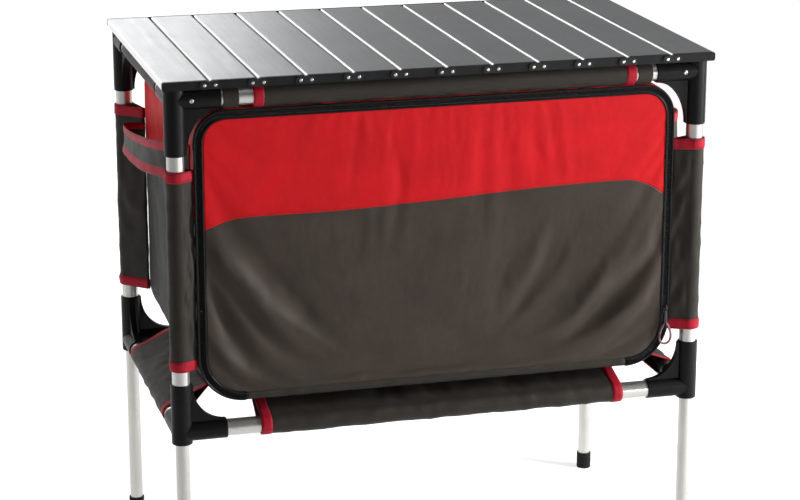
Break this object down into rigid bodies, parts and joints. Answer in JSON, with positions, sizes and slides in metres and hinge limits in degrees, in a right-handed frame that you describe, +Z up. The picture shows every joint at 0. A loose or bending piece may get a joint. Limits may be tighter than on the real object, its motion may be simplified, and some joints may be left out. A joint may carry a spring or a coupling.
{
  "type": "folding camp kitchen table",
  "caption": "Camp kitchen table with a roll-up slat top, a tube frame on telescoping legs and a hanging fabric organiser with a zipped drop-down door.",
  "frame": {"origin": "on the floor under the middle of the table", "axes": "+Z up, +X along the long side to the right, the zipped door faces -Y"},
  "size_m": [0.813, 0.4998, 0.815],
  "materials": {
    "slat_aluminium": "satin",
    "black_plastic": "moulded",
    "tube_aluminium": "satin anodised",
    "foot_rubber": "matt",
    "red_fabric": "coated weave",
    "dark_fabric": "coated weave",
    "zip_black": "satin",
    "slider_metal": "dark plated"
  },
  "bodies": {
    "frame": {"top_bracket_front_left": "black_plastic", "lower_bracket_front_left": "black_plastic", "post_front_left": "tube_aluminium", "top_bracket_front_right": "black_plastic", "lower_bracket_front_right": "black_plastic", "post_front_right": "tube_aluminium", "top_rail_front": "tube_aluminium", "lower_rail_front": "tube_aluminium", "top_bracket_rear_left": "black_plastic", "lower_bracket_rear_left": "black_plastic", "post_rear_left": "tube_aluminium", "top_bracket_rear_right": "black_plastic", "lower_bracket_rear_right": "black_plastic", "post_rear_right": "tube_aluminium", "top_rail_rear": "tube_aluminium", "lower_rail_rear": "tube_aluminium", "top_rail_left": "tube_aluminium", "lower_rail_left": "tube_aluminium", "top_rail_right": "tube_aluminium", "lower_rail_right": "tube_aluminium", "leg_guides": "black_plastic", "organiser_bag": "dark_fabric", "door_zip": "zip_black", "tube_sleeves": "dark_fabric", "side_straps": "dark_fabric", "slat_01": "slat_aluminium", "end_set_01": "black_plastic"},
    "top_02": {"slat_02": "slat_aluminium", "end_set_02": "black_plastic"},
    "top_03": {"slat_03": "slat_aluminium", "end_set_03": "black_plastic"},
    "top_04": {"slat_04": "slat_aluminium", "end_set_04": "black_plastic"},
    "top_05": {"slat_05": "slat_aluminium", "end_set_05": "black_plastic"},
    "top_06": {"slat_06": "slat_aluminium", "end_set_06": "black_plastic"},
    "top_07": {"slat_07": "slat_aluminium", "end_set_07": "black_plastic"},
    "top_08": {"slat_08": "slat_aluminium", "end_set_08": "black_plastic"},
    "top_09": {"slat_09": "slat_aluminium", "end_set_09": "black_plastic"},
    "top_10": {"slat_10": "slat_aluminium", "end_set_10": "black_plastic"},
    "top_11": {"slat_11": "slat_aluminium", "end_set_11": "black_plastic"},
    "top_12": {"slat_12": "slat_aluminium", "end_set_12": "black_plastic"},
    "leg_front_left": {"leg_front_left": "tube_aluminium", "foot_front_left": "foot_rubber"},
    "leg_front_right": {"leg_front_right": "tube_aluminium", "foot_front_right": "foot_rubber"},
    "leg_rear_left": {"leg_rear_left": "tube_aluminium", "foot_rear_left": "foot_rubber"},
    "leg_rear_right": {"leg_rear_right": "tube_aluminium", "foot_rear_right": "foot_rubber"},
    "door": {"organiser_door": "red_fabric"},
    "slider": {"zip_slider": "slider_metal"},
    "pull": {"zip_pull": "slider_metal"}
  },
  "joints": [
    {"name": "roll_01", "type": "hinge", "parent": "frame", "child": "top_02", "pos_m": [-0.33225, 0, 0.80875], "axis": [0, -1, 0], "range_deg": [0, 48]},
    {"name": "roll_02", "type": "hinge", "parent": "top_02", "child": "top_03", "pos_m": [-0.26425, 0, 0.80875], "axis": [0, -1, 0], "range_deg": [0, 48.1]},
    {"name": "roll_03", "type": "hinge", "parent": "top_03", "child": "top_04", "pos_m": [-0.19625, 0, 0.80875], "axis": [0, -1, 0], "range_deg": [0, 48.8]},
    {"name": "roll_04", "type": "hinge", "parent": "top_04", "child": "top_05", "pos_m": [-0.12825, 0, 0.80875], "axis": [0, -1, 0], "range_deg": [0, 50.2]},
    {"name": "roll_05", "type": "hinge", "parent": "top_05", "child": "top_06", "pos_m": [-0.06025, 0, 0.80875], "axis": [0, -1, 0], "range_deg": [0, 52.6]},
    {"name": "roll_06", "type": "hinge", "parent": "top_06", "child": "top_07", "pos_m": [0.00775, 0, 0.80875], "axis": [0, -1, 0], "range_deg": [0, 56.2]},
    {"name": "roll_07", "type": "hinge", "parent": "top_07", "child": "top_08", "pos_m": [0.07575, 0, 0.80875], "axis": [0, -1, 0], "range_deg": [0, 61.2]},
    {"name": "roll_08", "type": "hinge", "parent": "top_08", "child": "top_09", "pos_m": [0.14375, 0, 0.80875], "axis": [0, -1, 0], "range_deg": [0, 67.8]},
    {"name": "roll_09", "type": "hinge", "parent": "top_09", "child": "top_10", "pos_m": [0.21175, 0, 0.80875], "axis": [0, -1, 0], "range_deg": [0, 76]},
    {"name": "roll_10", "type": "hinge", "parent": "top_10", "child": "top_11", "pos_m": [0.27975, 0, 0.80875], "axis": [0, -1, 0], "range_deg": [0, 86]},
    {"name": "roll_11", "type": "hinge", "parent": "top_11", "child": "top_12", "pos_m": [0.34775, 0, 0.80875], "axis": [0, -1, 0], "range_deg": [0, 98]},
    {"name": "leg_slide_front_left", "type": "slide", "parent": "frame", "child": "leg_front_left", "axis": [0, 0, 1], "range_m": [0, 0.25]},
    {"name": "leg_slide_front_right", "type": "slide", "parent": "frame", "child": "leg_front_right", "axis": [0, 0, 1], "range_m": [0, 0.25]},
    {"name": "leg_slide_rear_left", "type": "slide", "parent": "frame", "child": "leg_rear_left", "axis": [0, 0, 1], "range_m": [0, 0.25]},
    {"name": "leg_slide_rear_right", "type": "slide", "parent": "frame", "child": "leg_rear_right", "axis": [0, 0, 1], "range_m": [0, 0.25]},
    {"name": "door_flap", "type": "hinge", "parent": "frame", "child": "door", "pos_m": [0, -0.2315, 0.3525], "axis": [1, 0, 0], "range_deg": [0, 165]},
    {"name": "zip_travel", "type": "slide", "parent": "frame", "child": "slider", "axis": [0, 0, 1], "range_m": [0, 0.28]},
    {"name": "pull_swing", "type": "hinge", "parent": "slider", "child": "pull", "pos_m": [0.346, -0.2358, 0.42817], "axis": [-1, 0, 0], "range_deg": [0, 150]}
  ]
}
